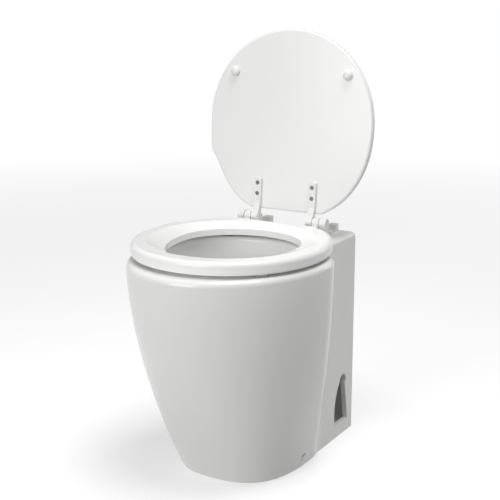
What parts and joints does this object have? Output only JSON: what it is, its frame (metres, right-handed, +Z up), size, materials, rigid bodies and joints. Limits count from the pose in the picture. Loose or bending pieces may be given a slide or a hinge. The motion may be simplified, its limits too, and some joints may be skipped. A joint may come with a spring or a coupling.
{
  "type": "electric toilet",
  "caption": "Floor-standing china toilet with a tapering skirt, oval seat and lid on knuckle hinges, and an electric macerator pump behind the bowl.",
  "frame": {"origin": "on the floor under the middle of the pan's length and width", "axes": "+Z up, -Y towards the front of the pan, +X to the right of someone facing the toilet"},
  "size_m": [0.374, 0.496, 0.8041],
  "materials": {
    "glazed_china": "gloss",
    "seat_enamel": "gloss",
    "lid_enamel": "gloss",
    "hinge_plastic": "satin",
    "buffer_clear": "satin",
    "buffer_white": "satin",
    "stainless": "brushed",
    "black_rubber": "matte",
    "pump_plastic": "moulded",
    "motor_paint": "satin",
    "cast_alloy": "cast",
    "copper": "machined",
    "magnet": "sintered",
    "brass_body": "machined",
    "nylon_white": "moulded"
  },
  "bodies": {
    "base": {"ceramic_pan": "glazed_china", "hinge_base_right": "hinge_plastic", "hinge_base_left": "hinge_plastic", "hinge_pins": "stainless", "hinge_bolts": "stainless", "hinge_caps": "hinge_plastic", "hinge_washers": "black_rubber", "hinge_wing_nuts": "nylon_white", "side_fixing_screws": "stainless", "side_fixing_bushes": "nylon_white", "floor_frame": "stainless", "frame_nuts": "stainless", "outlet_elbow": "black_rubber", "elbow_clamp_upper": "stainless", "elbow_clamp_lower": "stainless", "pump_chamber": "pump_plastic", "shear_plate": "stainless", "pump_body": "pump_plastic", "chamber_screws": "stainless", "shaft_seal": "black_rubber", "motor_bearings": "stainless", "motor_magnets": "magnet", "motor_brushes": "magnet", "motor_end_bell": "cast_alloy", "motor_can": "motor_paint", "motor_end_cap": "pump_plastic", "motor_screws": "stainless", "check_valve": "black_rubber", "discharge_spigot": "pump_plastic", "discharge_screws": "stainless", "pump_feet": "black_rubber", "foot_studs": "stainless", "foot_nuts": "stainless", "valve_body": "brass_body", "valve_core_tube": "stainless", "valve_coil": "pump_plastic", "valve_bracket": "stainless", "valve_screws": "stainless", "rinse_hose": "black_rubber", "hose_clips": "stainless", "rinse_nozzle": "nylon_white", "rinse_grommet": "black_rubber"},
    "seat": {"seat_ring": "seat_enamel", "seat_buffers": "buffer_clear", "seat_leaf_right": "hinge_plastic", "seat_leaf_left": "hinge_plastic", "seat_leaf_screws": "stainless"},
    "lid": {"lid_panel": "lid_enamel", "lid_buffers": "buffer_white", "lid_strap_right": "hinge_plastic", "lid_strap_left": "hinge_plastic", "lid_strap_screws": "stainless"},
    "rotor": {"cutter": "stainless", "impeller": "pump_plastic", "cutter_nut": "stainless", "rotor_shaft": "stainless", "armature_core": "stainless", "commutator": "copper"},
    "plunger": {"valve_plunger": "stainless"}
  },
  "joints": [
    {"name": "lid_hinge", "type": "hinge", "parent": "base", "child": "lid", "pos_m": [0, 0.15, 0.441], "axis": [1, 0, 0], "range_deg": [0, 94]},
    {"name": "seat_hinge", "type": "hinge", "parent": "base", "child": "seat", "pos_m": [0, 0.15, 0.441], "axis": [-1, 0, 0], "range_deg": [0, 93]},
    {"name": "pump_spin", "type": "hinge", "parent": "base", "child": "rotor", "pos_m": [0, 0.15, 0.15], "axis": [0, 0, 1], "continuous": true},
    {"name": "valve_stroke", "type": "slide", "parent": "base", "child": "plunger", "axis": [-1, 0, 0], "range_m": [0, 0.006], "stiffness_N_per_m": 300, "springref_m": -0.004}
  ]
}
